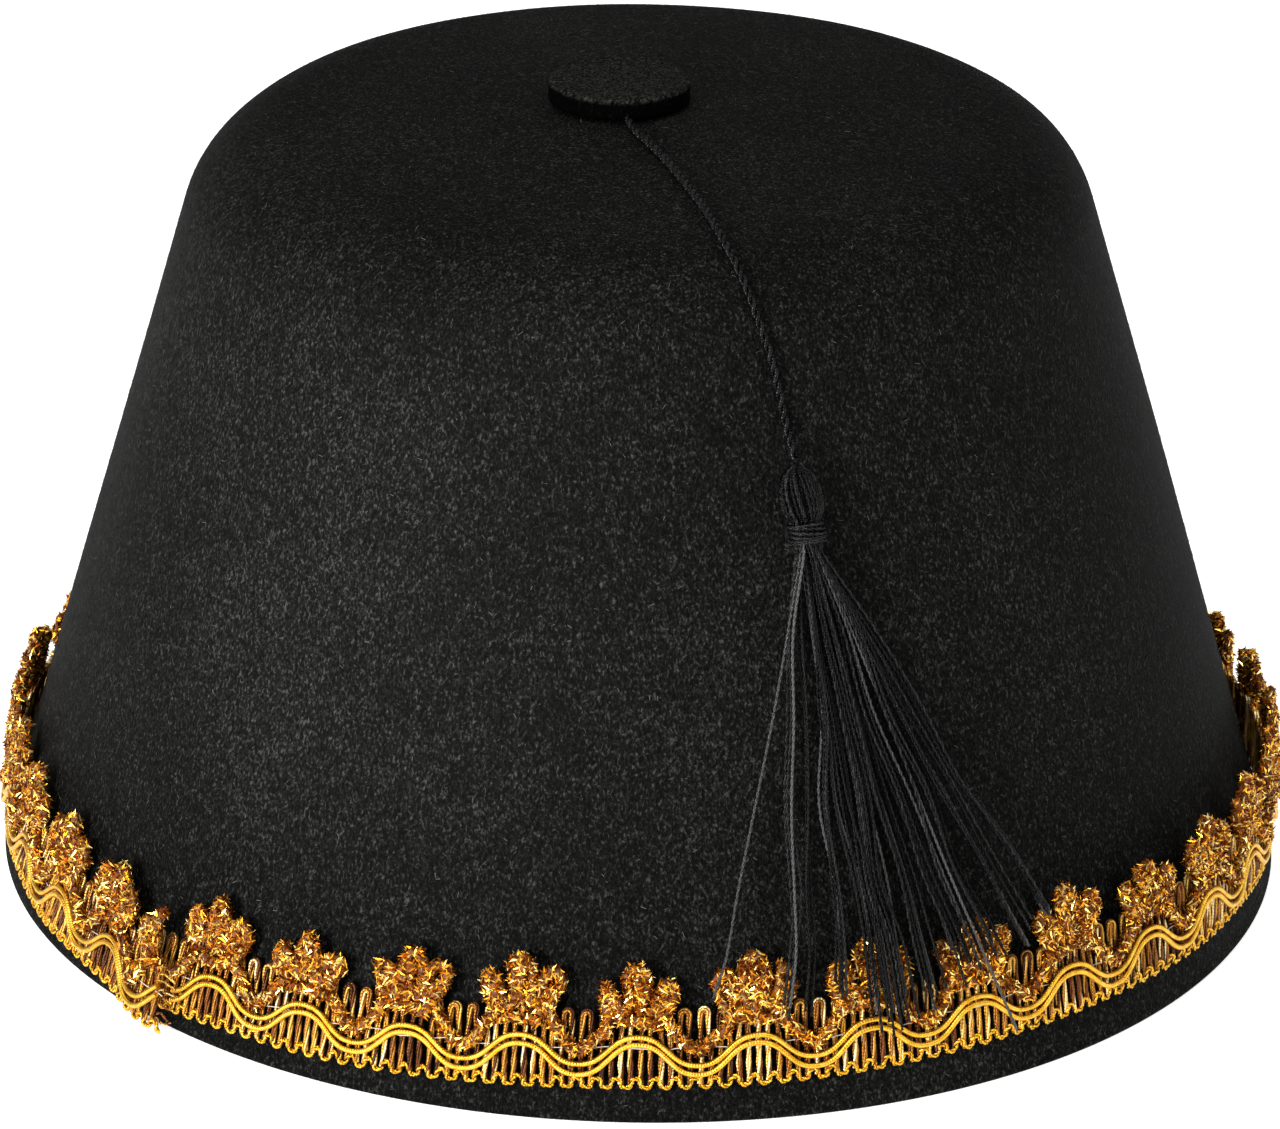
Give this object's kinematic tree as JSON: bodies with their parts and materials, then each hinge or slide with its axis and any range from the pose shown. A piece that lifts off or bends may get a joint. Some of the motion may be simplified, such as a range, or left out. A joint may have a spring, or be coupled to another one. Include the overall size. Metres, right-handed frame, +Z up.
{
  "type": "fez hat",
  "caption": "Brimless tapered felt hat, hollow and open below, with a felt button on top, a lapped gold braid trim round the rim, and a tassel on a twisted cord.",
  "frame": {"origin": "middle of the rim, on the surface that the hat rests on", "axes": "+Z up through the top, -Y the front of the hat as it is seen, +X to its right in that view"},
  "size_m": [0.1931, 0.1928, 0.1198],
  "materials": {
    "felt": "matted charcoal wool felt, short fibres",
    "felt_button": "cut felt disc with a soft edge",
    "braid_ground": "woven metallic yarn in gold, tan and brown",
    "chenille_gold": "metallic chenille, orange gold with bright flecks",
    "cord_gold": "smooth twisted metallic gold cord",
    "silk_black": "black twisted rayon thread with a soft shine"
  },
  "bodies": {
    "root": {"crown": "felt", "button": "felt_button", "trim_band": "braid_ground", "trim_shells": "chenille_gold", "trim_wave_upper": "cord_gold", "trim_wave_lower": "cord_gold", "tassel_cord": "silk_black", "tassel": "silk_black", "tassel_binding": "silk_black"}
  },
  "joints": []
}
